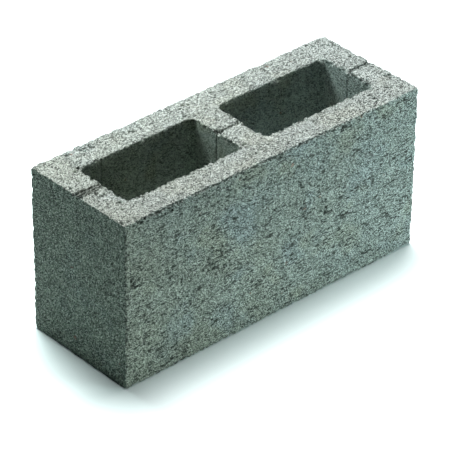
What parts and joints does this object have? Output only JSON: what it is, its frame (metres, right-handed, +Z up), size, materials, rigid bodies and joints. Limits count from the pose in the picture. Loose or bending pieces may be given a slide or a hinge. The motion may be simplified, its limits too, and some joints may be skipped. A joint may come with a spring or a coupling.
{
  "type": "hollow concrete block",
  "caption": "Hollow concrete building block with open cores and core bar marks along the top of its webs, for laying walls.",
  "frame": {"origin": "middle of the bottom bed face, halfway along the block and halfway across it", "axes": "+X along the block's length, +Y across its width, +Z up through its cores towards their wide end"},
  "size_m": [0.39, 0.14, 0.19],
  "materials": {
    "concrete": "rough, open-grained dry-cast concrete"
  },
  "bodies": {
    "root": {"block": "concrete"}
  },
  "joints": []
}
